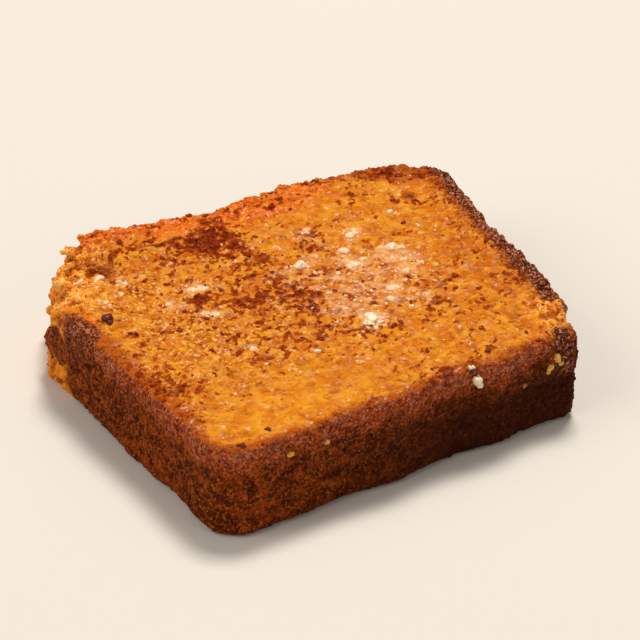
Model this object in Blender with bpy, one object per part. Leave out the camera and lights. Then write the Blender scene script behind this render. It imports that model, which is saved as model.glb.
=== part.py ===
"""A thick griddled slice of loaf-pan cornbread, lying flat on one cut face.

Metres, +Z up. X runs along the pan-bottom crust, which is at -Y; the loaf's domed top crust is
at +Y, and the origin is the middle of the footprint, on the underside. The slice is one solid:
its crumb, crust, crags, tears and the broken corner are all relief on the same body.
"""

import math

import bmesh
import bpy
from mathutils import Vector, noise

MM = 0.001

# Driving dimensions of the slice
THICKNESS = 25.0 * MM
CUT_EDGE_ROUND = 1.7 * MM
UNDER_EDGE_ROUND = 2.2 * MM

# Plan of the slice: where its sides would cross, and how far each corner is rounded. The last
# two corners are the ends of the fracture where the corner beside the domed crust broke off.
FRONT_LEFT = ((-56.0 * MM, -53.6 * MM), 10.0 * MM)
FRONT_RIGHT = ((46.2 * MM, -47.6 * MM), 3.0 * MM)
BACK_RIGHT = ((61.6 * MM, 45.4 * MM), 14.0 * MM)
BREAK_BACK = ((-48.0 * MM, 54.2 * MM), 5.0 * MM)
BREAK_LEFT = ((-60.0 * MM, 32.0 * MM), 6.0 * MM)
PLAN_CORNERS = (FRONT_LEFT, FRONT_RIGHT, BACK_RIGHT, BREAK_BACK, BREAK_LEFT)

# Crust that stands out from a straight side (+) or sinks into it (-): place, reach, amount
OUTLINE_SWELLS = (
    ((-8.0 * MM, -50.6 * MM), 7.0 * MM, 1.1 * MM),
    ((22.5 * MM, -48.7 * MM), 7.0 * MM, 1.7 * MM),
    ((45.0 * MM, -49.6 * MM), 3.2 * MM, 1.8 * MM),
    ((50.4 * MM, -25.0 * MM), 16.0 * MM, 3.0 * MM),
    ((48.4 * MM, -36.5 * MM), 3.4 * MM, 0.9 * MM),
    ((47.0 * MM, -42.2 * MM), 2.4 * MM, -1.9 * MM),
    ((54.0 * MM, -8.0 * MM), 6.0 * MM, 0.9 * MM),
    ((57.6 * MM, 18.0 * MM), 7.0 * MM, 0.9 * MM),
    ((31.0 * MM, 47.5 * MM), 9.0 * MM, 0.6 * MM),
    ((19.0 * MM, 48.4 * MM), 4.5 * MM, 1.3 * MM),
    ((-4.5 * MM, 50.2 * MM), 8.5 * MM, -3.0 * MM),
    ((-21.5 * MM, 51.5 * MM), 3.2 * MM, -1.5 * MM),
    ((-36.0 * MM, 53.5 * MM), 7.0 * MM, 0.6 * MM),
)
OUTLINE_RAGGED = 0.45 * MM
OUTLINE_RAGGED_LENGTH = 6.5 * MM

# Crumb and crust relief: height and length of each grade of roughness
CUT_FACE_GRADES = ((0.60 * MM, 26.0 * MM), (0.45 * MM, 9.0 * MM), (0.45 * MM, 4.4 * MM))
CRUST_GRADES = ((0.60 * MM, 15.0 * MM), (0.60 * MM, 5.5 * MM))

# Raised scabs where the crumb stuck to the griddle: place, half-length, half-width, turn, rise
GRIDDLE_SCABS = (
    ((-14.0 * MM, 37.5 * MM), 13.0 * MM, 6.0 * MM, -18.0, 1.1 * MM),
    ((-29.0 * MM, 39.0 * MM), 5.5 * MM, 2.6 * MM, -10.0, 0.6 * MM),
    ((-28.1 * MM, 10.2 * MM), 4.0 * MM, 2.6 * MM, 25.0, 0.8 * MM),
    ((-51.0 * MM, 13.6 * MM), 3.2 * MM, 2.6 * MM, 0.0, 0.9 * MM),
    ((10.8 * MM, 21.0 * MM), 3.6 * MM, 2.8 * MM, -30.0, 0.6 * MM),
    ((8.8 * MM, 40.1 * MM), 3.6 * MM, 2.4 * MM, 10.0, 0.6 * MM),
    ((-50.0 * MM, -23.5 * MM), 3.6 * MM, 2.6 * MM, 60.0, 0.7 * MM),
    ((14.5 * MM, -47.0 * MM), 4.2 * MM, 2.4 * MM, 5.0, 0.7 * MM),
)
BUTTER_LUMP = ((4.4 * MM, -19.6 * MM), 2.6 * MM, 2.2 * MM, -20.0, 1.5 * MM)

# The tear in the cut face beside the rounded back corner, and the dark rim of crust round it
TEAR_START = (37.5 * MM, 33.5 * MM)
TEAR_END = (48.0 * MM, 25.5 * MM)
TEAR_HALF_WIDTH = 2.2 * MM
TEAR_DEPTH = 1.3 * MM
RIM_RISE = 0.8 * MM
BACK_RIM_RISE = 0.56 * MM
RIM_WIDTH = 3.2 * MM
RIM_STARTS_Y = (-44.0 * MM, -36.0 * MM)
RIM_STARTS_X = (-44.0 * MM, -34.0 * MM)

# The crumbly corner: the fracture leans in towards the upper face, more so at its left end.
# The pairs are shares along it, from the domed crust to the left side, between which it grows
# to its full drop, sets in and fades out again.
BREAK_LEAN = 5.0 * MM
BREAK_DROP_BACK = 3.0 * MM
BREAK_DROP_LEFT = 11.0 * MM
BREAK_DEEPENS = (0.1, 0.9)
BREAK_SETS_IN = (-0.25, 0.05)
BREAK_FADES = (0.95, 1.2)
BREAK_SETBACK = 2.4 * MM
BREAK_LUMP_HEIGHT = 2.8 * MM
BREAK_LUMP_LENGTH = 5.2 * MM
BREAK_LUMP_MIDDLE = 0.45
BREAK_ROUGH_REACH = 17.0 * MM
ROUGH_SETS_IN = (-0.35, 0.0)
ROUGH_FADES = (0.9, 1.25)
CRUMB_HOLE = ((-41.5 * MM, 38.4 * MM), 5.2 * MM, 3.4 * MM, 60.0, -4.0 * MM)

# The curled end of the left side's crust, and the flap of crust below it
CRUST_CURL = ((-57.0 * MM, 21.0 * MM), 5.0 * MM, 1.4 * MM)
CRUST_FLAP = ((-59.0 * MM, 34.5 * MM, THICKNESS - 9.0 * MM), 4.0 * MM, 2.2 * MM)

# Resolution of the modelled surface
COLUMNS_ACROSS = 53
ROWS_DEEP = 48
EDGE_STEPS = 3
SIDE_STEPS = 8
UNDER_STEPS = 2
ON_EDGE = 1e-6

CRUMB_COLOUR = (0.62, 0.24, 0.035, 1.0)
CRUMB_ROUGHNESS = 0.42

FACE_SEED = Vector((3.1, 17.7, 5.3))
CRUST_SEED = Vector((41.9, 2.6, 11.4))
OUTLINE_SEED = Vector((8.8, 23.5, 31.2))
LUMP_SEED = Vector((14.2, 9.1, 27.6))


def clear_scene():
    for old in list(bpy.data.objects):
        bpy.data.objects.remove(old)


def crumb_material():
    """Buttered crumb browned on a griddle."""
    material = bpy.data.materials.new("griddled_crumb")
    material.use_nodes = True
    shader = material.node_tree.nodes["Principled BSDF"]
    shader.inputs["Base Color"].default_value = CRUMB_COLOUR
    shader.inputs["Roughness"].default_value = CRUMB_ROUGHNESS
    shader.inputs["Metallic"].default_value = 0.0
    return material


# ---- Falloffs and noise -------------------------------------------------------------------


def smooth_step(value, low, high):
    share = min(1.0, max(0.0, (value - low) / (high - low)))
    return share * share * (3.0 - 2.0 * share)


def bell(distance, reach):
    return math.exp(-((distance / reach) ** 2))


def graded_noise(point, grades, seed):
    return sum(height * noise.noise(point / length + seed) for height, length in grades)


def oval_mound(x, y, mound):
    """Height of a low oval mound, or of a hollow where its rise is negative."""
    (centre_x, centre_y), half_length, half_width, turn, rise = mound
    angle = math.radians(turn)
    along = (x - centre_x) * math.cos(angle) + (y - centre_y) * math.sin(angle)
    across = (y - centre_y) * math.cos(angle) - (x - centre_x) * math.sin(angle)
    return rise * bell(math.hypot(along / half_length, across / half_width), 1.0)


def segment_distance(x, y, start, end):
    line = Vector(end) - Vector(start)
    offset = Vector((x, y)) - Vector(start)
    share = min(1.0, max(0.0, offset.dot(line) / line.length_squared))
    return (offset - line * share).length


# ---- Plan outline -------------------------------------------------------------------------


def outward(heading):
    """The direction that faces out of the plan, for a heading anticlockwise round it."""
    return Vector((heading.y, -heading.x))


def turned(direction, angle):
    """The direction turned anticlockwise, seen from above."""
    cosine, sine = math.cos(angle), math.sin(angle)
    return Vector(
        (
            direction.x * cosine - direction.y * sine,
            direction.x * sine + direction.y * cosine,
        )
    )


def plan_pieces():
    """The plan outline as pieces of (start point, facing, length, radius); radius 0 is straight.

    It starts at the middle of the first corner and runs anticlockwise.
    """
    corners = [Vector(corner) for corner, _ in PLAN_CORNERS]
    count = len(corners)
    headings = [(corners[(i + 1) % count] - corners[i]).normalized() for i in range(count)]
    pieces = []
    for i, (_, radius) in enumerate(PLAN_CORNERS):
        next_radius = PLAN_CORNERS[(i + 1) % count][1]
        half_turn = headings[i - 1].angle(headings[i]) / 2.0
        next_half_turn = headings[i].angle(headings[(i + 1) % count]) / 2.0
        facing = outward(headings[i])
        straight_start = corners[i] + headings[i] * radius * math.tan(half_turn)
        straight_end = corners[(i + 1) % count] - headings[i] * next_radius * math.tan(
            next_half_turn
        )
        centre = straight_start - facing * radius
        arc_facing = turned(facing, -half_turn)
        pieces.append((centre + arc_facing * radius, arc_facing, half_turn * radius, radius))
        straight = (straight_end - straight_start).length
        pieces.append((straight_start, facing, straight, 0.0))
        pieces.append((straight_end, facing, next_half_turn * next_radius, next_radius))
    return pieces


PIECES = plan_pieces()
CORNER_STARTS = [sum(piece[2] for piece in PIECES[: 3 * i]) for i in range(len(PLAN_CORNERS))]
PLAN_LENGTH = sum(piece[2] for piece in PIECES)

# Distance round the outline of the four corners of the surface grid: three of the slice's own
# corners and the middle of the fracture.
GRID_CORNERS = (*CORNER_STARTS[:3], (CORNER_STARTS[3] + CORNER_STARTS[4]) / 2.0, PLAN_LENGTH)


def on_outline(distance):
    """Point and outward direction at this distance round the smooth plan outline."""
    index = 0
    while index < len(PIECES) - 1 and distance > PIECES[index][2]:
        distance -= PIECES[index][2]
        index += 1
    start, facing, _, radius = PIECES[index]
    if radius == 0.0:
        heading = turned(facing, math.pi / 2.0)
        return start + heading * distance, facing
    centre = start - facing * radius
    facing = turned(facing, distance / radius)
    return centre + facing * radius, facing


def outline_swell(point):
    """How far the crust stands out of the smooth outline at this point."""
    swell = OUTLINE_RAGGED * noise.noise(point.to_3d() / OUTLINE_RAGGED_LENGTH + OUTLINE_SEED)
    for place, reach, amount in OUTLINE_SWELLS:
        swell += amount * bell((point - Vector(place)).length, reach)
    return swell


def outline(side, share, inset):
    """The ragged outline, moved in by `inset`: point and outward direction.

    Side 0 is the pan bottom, 1 the right, 2 the domed back and 3 the left; share runs 0 to 1.
    """
    start, end = GRID_CORNERS[side], GRID_CORNERS[side + 1]
    point, facing = on_outline(start + share * (end - start))
    return point + facing * (outline_swell(point) - inset), facing


# ---- Heights ------------------------------------------------------------------------------


def break_place(x, y):
    """Distance in from the fracture, and share along it from the domed crust to the left side."""
    start, end = Vector(BREAK_BACK[0]), Vector(BREAK_LEFT[0])
    line = end - start
    offset = Vector((x, y)) - start
    return -outward(line.normalized()).dot(offset), offset.dot(line) / line.length_squared


def break_drop(x, y):
    """How far the crumb has fallen away at the broken corner."""
    inside, along = break_place(x, y)
    deepening = smooth_step(along, *BREAK_DEEPENS)
    deepest = BREAK_DROP_BACK + (BREAK_DROP_LEFT - BREAK_DROP_BACK) * deepening
    beside = smooth_step(along, *BREAK_SETS_IN) * (1.0 - smooth_step(along, *BREAK_FADES))
    return deepest * beside * (1.0 - smooth_step(inside, 0.0, BREAK_LEAN + CUT_EDGE_ROUND))


def break_roughness(x, y):
    """1 on the coarse torn crumb at the broken corner, fading to 0 on the griddled face."""
    inside, along = break_place(x, y)
    beside = smooth_step(along, *ROUGH_SETS_IN) * (1.0 - smooth_step(along, *ROUGH_FADES))
    return beside * (1.0 - smooth_step(inside, BREAK_LEAN, BREAK_ROUGH_REACH))


def torn_lumps(spot):
    """Rounded crumb lumps with creases between them."""
    nearest = noise.voronoi(spot / BREAK_LUMP_LENGTH + LUMP_SEED)[0][0]
    return BREAK_LUMP_HEIGHT * (BREAK_LUMP_MIDDLE - nearest)


def rim_height(x, y):
    """The crust rim that stands proud of the crumb along the right side and the back."""
    right = segment_distance(x, y, FRONT_RIGHT[0], BACK_RIGHT[0])
    back = segment_distance(x, y, BACK_RIGHT[0], BREAK_BACK[0])
    right_rim = RIM_RISE * bell(right - RIM_WIDTH, RIM_WIDTH) * smooth_step(y, *RIM_STARTS_Y)
    back_rim = BACK_RIM_RISE * bell(back - RIM_WIDTH, RIM_WIDTH) * smooth_step(x, *RIM_STARTS_X)
    return max(right_rim, back_rim)


def slice_height(x, y):
    """Height of the upper cut face above the underside."""
    place = Vector((x, y, 0.0))
    height = THICKNESS + graded_noise(place, CUT_FACE_GRADES, FACE_SEED)
    height += sum(oval_mound(x, y, scab) for scab in GRIDDLE_SCABS)
    height += oval_mound(x, y, BUTTER_LUMP) + oval_mound(x, y, CRUMB_HOLE)
    height -= TEAR_DEPTH * bell(segment_distance(x, y, TEAR_START, TEAR_END), TEAR_HALF_WIDTH)
    height += rim_height(x, y)
    height += break_roughness(x, y) * torn_lumps(place)
    curl_place, curl_reach, curl_rise = CRUST_CURL
    height += curl_rise * bell((Vector((x, y)) - Vector(curl_place)).length, curl_reach)
    return height - break_drop(x, y)


# ---- The solid ----------------------------------------------------------------------------


def side_levels():
    """The rings of vertices from the upper cut face's edge down to the underside.

    Each has its inset from the outline, its height, and its share of the side's relief, which
    grows from nothing at the edge of the face so that the rounded edge never folds over.
    """
    levels = []
    for step in range(1, EDGE_STEPS + 1):
        angle = math.radians(90.0 * step / EDGE_STEPS)
        height = THICKNESS - CUT_EDGE_ROUND * (1.0 - math.cos(angle))
        levels.append((CUT_EDGE_ROUND * (1.0 - math.sin(angle)), height, math.sin(angle)))
    straight = THICKNESS - CUT_EDGE_ROUND - UNDER_EDGE_ROUND
    for step in range(1, SIDE_STEPS + 1):
        levels.append((0.0, THICKNESS - CUT_EDGE_ROUND - straight * step / SIDE_STEPS, 1.0))
    for step in range(1, UNDER_STEPS + 1):
        angle = math.radians(90.0 * step / UNDER_STEPS)
        height = UNDER_EDGE_ROUND * (1.0 - math.sin(angle))
        levels.append((UNDER_EDGE_ROUND * (1.0 - math.cos(angle)), height, 1.0))
    return levels


def face_point(across, deep):
    """Plan position on the upper cut face, for shares 0 to 1 across X and deep along Y.

    The four edges of the face are blended so that its rows follow the rounded outline.
    """
    front, right, back, left = (
        outline(index, share, CUT_EDGE_ROUND)[0]
        for index, share in enumerate((across, deep, 1.0 - across, 1.0 - deep))
    )
    corners = [outline(index, 0.0, CUT_EDGE_ROUND)[0] for index in range(4)]
    blended = front * (1.0 - deep) + back * deep + left * (1.0 - across) + right * across
    near = corners[0] * (1.0 - across) + corners[1] * across
    far = corners[3] * (1.0 - across) + corners[2] * across
    return blended - near * (1.0 - deep) - far * deep


def perimeter_place(across, deep):
    """Side and share along it for a vertex on the edge of the grid."""
    if deep < ON_EDGE:
        return 0, across
    if across > 1.0 - ON_EDGE:
        return 1, deep
    if deep > 1.0 - ON_EDGE:
        return 2, 1.0 - across
    return 3, 1.0 - deep


def ring_point(side, share, inset, level, relief_share):
    """A vertex on the side of the slice, at the height `level` of its full thickness."""
    height_share = level / THICKNESS
    place, facing = outline(side, share, 0.0)
    torn = break_roughness(place.x, place.y)
    setback = BREAK_SETBACK * torn * height_share**2
    rim, _ = outline(side, share, CUT_EDGE_ROUND)
    column = slice_height(rim.x, rim.y)
    spot = Vector((place.x, place.y, level))
    flap_place, flap_reach, flap_rise = CRUST_FLAP
    relief = graded_noise(spot, CRUST_GRADES, CRUST_SEED)
    relief += flap_rise * bell((spot - Vector(flap_place)).length, flap_reach)
    relief += torn * torn_lumps(spot)
    place = place + facing * ((relief - setback) * relief_share - inset)
    return Vector((place.x, place.y, column * height_share))


def build_slice():
    bm = bmesh.new()
    bmesh.ops.create_grid(bm, x_segments=COLUMNS_ACROSS, y_segments=ROWS_DEEP, size=1.0)
    places = {}
    for vert in bm.verts:
        across, deep = (vert.co.x + 1.0) / 2.0, (vert.co.y + 1.0) / 2.0
        if vert.is_boundary:
            places[vert] = perimeter_place(across, deep)
        spot = face_point(across, deep)
        vert.co = Vector((spot.x, spot.y, slice_height(spot.x, spot.y)))
    ring = [edge for edge in bm.edges if edge.is_boundary]
    for inset, level, relief_share in side_levels():
        extruded = bmesh.ops.extrude_edge_only(bm, edges=ring)["geom"]
        ring = [item for item in extruded if isinstance(item, bmesh.types.BMEdge)]
        lower = {}
        for vert in (item for item in extruded if isinstance(item, bmesh.types.BMVert)):
            above = next(v for e in vert.link_edges for v in e.verts if v in places)
            lower[vert] = places[above]
        for vert, (side, share) in lower.items():
            vert.co = ring_point(side, share, inset, level, relief_share)
        places = lower
    bmesh.ops.contextual_create(bm, geom=ring)
    bmesh.ops.recalc_face_normals(bm, faces=bm.faces)
    for face in bm.faces:
        face.smooth = True
    centre_footprint(bm)
    return bm


def centre_footprint(bm):
    """Moves the slice so that the middle of its footprint is the origin."""
    xs = [vert.co.x for vert in bm.verts]
    ys = [vert.co.y for vert in bm.verts]
    middle = Vector(((min(xs) + max(xs)) / 2.0, (min(ys) + max(ys)) / 2.0, 0.0))
    bmesh.ops.translate(bm, verts=bm.verts, vec=-middle)


def add_slice():
    mesh = bpy.data.meshes.new("cornbread")
    bm = build_slice()
    bm.to_mesh(mesh)
    bm.free()
    mesh.materials.append(crumb_material())
    slice_object = bpy.data.objects.new("cornbread", mesh)
    bpy.context.scene.collection.objects.link(slice_object)


clear_scene()
add_slice()
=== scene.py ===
"""Looks of the griddled slice of cornbread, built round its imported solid.

The slice's own frame is in metres, +Z up: +X runs along the pan-bottom crust, +Y points to the
domed crust, and the underside lies at Z = 0. The upper cut face is the buttered one. The tables
and the shaping below are in mm, and turns are in degrees.
"""

import math

import bpy
import numpy as np
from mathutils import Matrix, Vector, kdtree, noise
from mathutils.bvhtree import BVHTree


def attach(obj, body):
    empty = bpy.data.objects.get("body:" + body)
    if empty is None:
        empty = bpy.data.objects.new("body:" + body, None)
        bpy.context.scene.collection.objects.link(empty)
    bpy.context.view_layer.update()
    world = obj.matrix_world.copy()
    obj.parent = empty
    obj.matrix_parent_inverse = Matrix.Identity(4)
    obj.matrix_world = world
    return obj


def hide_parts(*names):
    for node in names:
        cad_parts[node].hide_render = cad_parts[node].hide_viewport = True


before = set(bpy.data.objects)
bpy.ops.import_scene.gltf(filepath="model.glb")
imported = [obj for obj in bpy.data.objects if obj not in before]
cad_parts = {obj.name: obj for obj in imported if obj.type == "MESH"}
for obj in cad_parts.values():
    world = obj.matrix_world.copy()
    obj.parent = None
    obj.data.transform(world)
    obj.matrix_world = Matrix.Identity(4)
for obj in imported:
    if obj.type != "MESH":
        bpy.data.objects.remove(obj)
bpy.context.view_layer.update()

MM = 0.001
IN_PLAN = (1.0, 1.0, 0.0)

# ---- The slice's main sizes and places ----

# The skin's cells, the level below which they are made coarser, and the skin's highest level and
# that of the crumbs on it
SKIN_CELL = 0.565
UNDERSIDE_LEVEL = 0.35
HIGHEST = 26.9
HIGHEST_CRUMB = 27.3

# How close vertices are merged, how little the skin's normal rises on an upright side, and how
# many points of the sides are searched at most
MERGED = 0.01
UPRIGHT = 0.25
MOST_SIDE_POINTS = 8000

# The fracture at the back-left corner, from the domed crust to the left side, and the depths
# behind it between which the torn crumb ends
BREAK_BACK = np.array((-47.9, 53.3))
BREAK_LEFT = np.array((-59.9, 31.1))
TORN_DEPTHS = (8, 18)

# The right side's crust, from the front corner to the domed corner: how far in from it the dark
# rim reaches, and the levels between which the rim starts
RIGHT_FRONT = np.array((49.6, -37))
RIGHT_BACK = np.array((60.2, 34))
RIM_REACH = 4.9
RIM_LEVELS = (12, 25)

# Tilts of the skin, from upright to level, between which crust gives way to crumb
CRUST_TILTS = (0.42, 0.92)

# Where more crumb broke away at the fracture's upper end: place, reach, and the way it gave
BROKEN_AWAY = ((-47.2, 49.2, 24), 4.8, (2.1, -1.2, -0.9))

# Zones: a zone is a soft oval in plan (place, half-length, half-width, turn, strength). The first
# is the left crust's end, which curls up beside the fracture.
CRUST_CURL = (((-58.6, 12.4), 3.4, 7.4, 6, 1),)

# The flap of crust below the curl: place and reach of its end and of its root, and the levels
# between which its orange lip starts
FLAP_END = ((-59.6, 32.6, 11.4), 5.2)
FLAP_ROOT = ((-59.6, 25.2, 13.6), 5.2)
FLAP_LIP_LEVELS = (13.6, 15.2)

# The dark nub at the front-right corner (place and reach)
NUB = ((42.6, -48.6), 4.2)

# Where the rim crumbled away, by the notch and by the nub: place, reach, and the levels between
# which the crust below gives way to golden crumb
CRUMBLED_RIM = (((45.5, -38.5), 5.5, 17, 21), ((43.6, -43.4), 4, 21, 24.5))

# The hollow in the broken corner (place and reach), and the zone of the slit in the tear, whose
# strength is its depth
HOLLOW = ((-41, 38.8), 4.2)
SLIT = (((46.6, 29.8), 1.9, 1, -30, 1),)

# Zones of the upper face that stayed golden and fine-grained
GOLDEN_ZONES = (((-34, -43), 20, 10, 10, 1), ((-46, -12), 8, 16, 0, 0.2))

# Zones where the crumb is coarser, with painted highlights as pale grains and painted shade in
# browner crevices
COARSE_AND_PAINTED_LIGHT_ZONES = (((-40, 14), 14, 24, 0, 0.9), ((-30, -12), 20, 14, -20, 0.7))

# Zones that the griddle browned on the upper face; where the strength is negative, less
BROWNED_ZONES = (
    ((1, -6), 34, 24, -20, 0.3),
    ((-12, 2), 20, 14, -30, 0.22),
    ((-9, 34), 6, 8, -20, 0.95),
    ((-17, 34), 9, 4, -20, 0.65),
    ((-14, 27.5), 7, 3, -25, 0.5),
    ((-23, 29), 5, 2.2, -30, 0.35),
    ((-29.5, 41), 8, 2.6, -14, 0.55),
    ((-51, -20), 5, 12, 0, 0.32),
    ((-33, -44), 20, 10, 10, -0.8),
    ((28, -36), 20, 9, 10, -0.16),
    ((40, 12), 12, 20, 0, -0.14),
    ((-44, 8), 10, 16, 0, -0.06),
    ((45.2, 26.2), 3, 1.4, -25, 0.95),
    ((44.6, 40.8), 5, 1.7, -14, 0.95),
    ((-40.8, 49.2), 2.4, 1.1, -25, 1.6),
    ((-44, 44), 4, 1.6, -50, 0.3),
    ((-27.2, 10.2), 3, 2, -20, 1),
    ((13.2, 24.2), 2.6, 1.7, -20, 1),
    ((25.5, -20.5), 3.6, 2, -30, 0.7),
)

# Single browned spots on the upper face: place and radius
BROWNED_SPOTS = (
    (-51.4, 12.7, 1.3), (-27, 10.2, 2.6), (-27.4, -9.3, 1.6), (-49.5, -50.9, 1.4),
    (-40.9, -48.9, 1.3), (-50.9, -22.9, 1.5), (-48.9, -25.9, 1.2), (-19.9, -42.9, 1.2),
    (9.8, 17.3, 2.4), (4, 6.7, 1.6), (-1.9, 19.3, 2), (-6.5, 10.1, 2.2), (-5.1, -6.3, 2.2),
    (9.3, -24.5, 2), (-9.1, -20.2, 1.6), (-14, -20, 1.6), (-20, -22.4, 1.5), (1.3, -23.4, 1.5),
    (3.7, -27.7, 2.2), (9.1, 39.2, 1.6), (15.7, -50.6, 1.5), (-11.3, 13.6, 1.9), (-17.8, 3.5, 2),
    (23.6, -5.6, 1.6), (16.2, -15.2, 1.6), (-36.9, -22.5, 1.2), (-45.4, -26.6, 1.1),
    (-37.2, -33.9, 1.1), (-27.6, -21.7, 1.2), (-32.2, -49.1, 1.2), (7.7, -47.4, 1.3),
    (3.8, -49.2, 1.1), (9, -49.6, 1.8), (21, -47.5, 1.7), (22.5, -45.5, 1.4),
)

# Zones where butter soaked the crumb orange, and painted shade in the broken corner's hollows;
# where the strength is negative, less
SOAKED_AND_PAINTED_SHADE_ZONES = (
    ((44, -6), 8, 26, -10, 0.42),
    ((4, 0), 24, 16, -25, 0.22),
    ((-30, 30), 14, 10, -20, 0.15),
    ((-35, -45), 18, 8, 8, -0.18),
    ((20, 30), 16, 8, 0, -0.12),
    # The next three zones are painted shade: they darken the crumb in the broken corner's hollows
    ((-41.5, 38.4), 3.2, 2.2, 60, 0.55),
    ((-39.6, 37.2), 1.8, 1.6, 0, 0.6),
    ((-54.4, 31), 2.2, 2.4, 0, 0.9),
    ((52.3, 27.6), 3, 1.8, -30, 0.6),
)

# Zones where the crust shows wider, along the domed side and round the domed corner
WIDE_CRUST = (
    ((45, 41.4), 7.5, 3.4, -14, 1.3),
    ((52.5, 37.5), 5, 4.2, -45, 1),
    ((55.2, 28.5), 5, 3, 70, 0.9),
)

# Zones of the red-orange band along the domed crust
BACK_BAND = (((3, 47.5), 25, 10, -3, 1.4), ((-26, 54), 18, 6, 4, 1.1))

# Crags of the broken corner and flakes that jut from the back edge: place, radius and thickness
CRAGS = (
    (-47.6, 35.4, 23.4, 2.3, 1.5), (-43.8, 33.4, 24, 2, 1.2), (-39.6, 29.2, 24.6, 1.8, 0.9),
    (-47, 23.2, 24.6, 1.9, 1), (-51.2, 32.6, 21.2, 2.8, 2.2), (-53.4, 27.6, 20.6, 2.3, 2),
    (-49.4, 41.6, 20.4, 2.6, 2), (-46.4, 45.4, 20.8, 2.4, 1.8), (-44.8, 42.6, 22, 2, 1.3),
    (-53.8, 31.6, 16.4, 2.4, 2.2), (-48.9, 44.4, 15.2, 2.2, 1.8), (-52.4, 38.6, 13.4, 2.8, 2.4),
    (-56.2, 31.4, 9.6, 2.2, 2), (-49.2, 48, 9, 2.4, 2), (-38.2, 43.2, 24, 1.8, 1),
    (-37.4, 50.8, 24.4, 2.7, 0.9), (-33.6, 51.2, 24.9, 2.4, 0.8), (-30, 51, 24.9, 2.2, 0.8),
    (-40.4, 48.2, 23.9, 2, 0.8), (-38.9, 51.4, 25.5, 1.7, 0.6), (-35.2, 51.6, 25.5, 2, 0.6),
    (-41.6, 49.4, 21.4, 2.2, 1), (-52.6, 24, 22.8, 2.1, 1.5), (-49.6, 28.4, 23, 2.1, 1.4),
    (-44.2, 48.4, 24.3, 2, 0.6), (-51.8, 37.2, 22.5, 2.1, 1.8), (-55.6, 32, 19.6, 1.5, 1.4),
    (-45.2, 30.6, 23.8, 2.3, 1.1), (-41.6, 27.8, 24.2, 1.7, 0.8),
)

# Single crumbs that stuck to the slice, and a few pale and dark lumps that are painted highlights
# and painted shade (place, radius, and how dark they are), each a clump of a few lumps
CLUMP = 5
STRAY_CRUMBS = (
    # The pale lump at (14.4, -51) is a painted highlight over the dark lump below it, which is
    # painted shade of a pit
    (16, -51.4, 21.4, 1.95, 0), (14.4, -51, 25.2, 1, 0), (14.2, -51.3, 24.3, 1, 1),
    (39.9, -49.8, 19.4, 1.5, 0.2), (38.2, -50.2, 17.2, 1.15, 0.25), (41.7, -49.8, 17, 0.95, 0.25),
    (37.9, -50, 15.6, 0.8, 0.3), (42.6, -50, 18.8, 0.6, 0.25), (-37.3, -53.6, 19.6, 1.15, 0.32),
    (-27.4, -53.4, 19.7, 0.95, 0.32), (30.7, -50.2, 14.5, 0.8, 0.55),
    # The pale lump at (-52.4, 12.8) is a painted highlight beside the dark pellet
    (-51.5, 11.6, 25.6, 2, 0.88), (-52.4, 12.8, 27, 0.85, 0.1), (-49.3, -51.6, 25.2, 1.1, 0.9),
    (-41.2, -49.4, 25.2, 0.9, 0.9), (7.8, -50.3, 25.2, 0.95, 0.88), (6, -50, 25.4, 0.6, 0.85),
    (21.2, -47.4, 25.8, 0.75, 0.8), (19, -46.4, 25.8, 0.6, 0.8),
)

# Zones of the butter film that lies on the crumb
BUTTER_ZONES = (
    ((12, -2), 22, 13, -35, 0.62),
    ((27, 4), 9, 6, -30, 0.4),
    ((3, -14), 13, 8, -30, 0.42),
    ((-24.5, 14.5), 6, 2.6, -25, 0.45),
    ((-34, 11), 4, 2.4, -20, 0.55),
    ((-27, 2.6), 4.5, 2.2, -25, 0.55),
    ((12, 22), 12, 6, -25, 0.3),
)

# Butter that hasn't melted yet: place, radius and height of each soft lump, and how deep it sinks
SUNK = 0.3
BUTTER_DAB = (
    (4.5, -20.3, 1.5, 0.55), (4.2, -20.9, 1.9, 0.4), (5.8, -21.4, 2.2, 0.3),
    (3.4, -21.8, 1.8, 0.28),
)
BUTTER_BITS = (
    (27.7, 8, 1.8, 0.8), (26.2, 9.4, 1.7, 0.45), (29.6, 6.9, 1.7, 0.4), (16, 12.6, 1.7, 0.8),
    (18.6, 6.8, 1.4, 0.55), (14.5, 6.5, 2.3, 0.35), (16.2, 5, 1.6, 0.3), (21.5, 18.6, 1.5, 0.45),
    (23.5, 19, 1.2, 0.4), (27.6, 2, 1.7, 0.4), (25, 3.4, 1.6, 0.25), (2.8, 11.7, 2, 0.7),
    (4.4, 10.7, 1.3, 0.4), (-26.8, -17.4, 1.3, 0.35), (-14, -25.9, 1.1, 0.45),
    (17.3, -9.2, 1.5, 0.4), (14.7, -13.6, 1.4, 0.4), (-23.7, 14.8, 2.4, 0.35),
    (-26.4, 15.6, 1.8, 0.3), (-34.3, 12.4, 1.4, 0.5), (-26.8, 2.6, 1.8, 0.35),
    (-29.2, 3.6, 1.4, 0.3), (-49.2, 34.8, 1.2, 0.2), (-48.2, 33.6, 1, 0.25),
    (-50.1, 33.6, 0.8, 0.2), (-43.8, 32.3, 1.2, 0.25), (-45, 31.6, 0.9, 0.2),
    (-40.4, 28.5, 1, 0.25), (-39.4, 26.9, 1, 0.25), (-41.6, 27, 0.8, 0.2), (-42.3, 23.4, 1, 0.25),
    (-48.2, 20.6, 1, 0.25), (-47.6, 19.1, 0.9, 0.25), (-49.2, 21.6, 0.8, 0.2),
    (11.5, 25.8, 1.5, 0.35), (13.4, 26.3, 1.2, 0.35), (24.1, 20.1, 1.3, 0.35),
    (37.1, 24.2, 1.2, 0.35), (40.1, 14.2, 1.2, 0.35), (1.8, -12.9, 1, 0.35),
    (25.1, -3.6, 1.5, 0.25), (17.6, -10, 1.7, 0.25), (23.6, -15.1, 1.4, 0.25),
    (30.7, -1.2, 1.4, 0.25), (7, 1.3, 0.7, 0.35),
)

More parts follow.
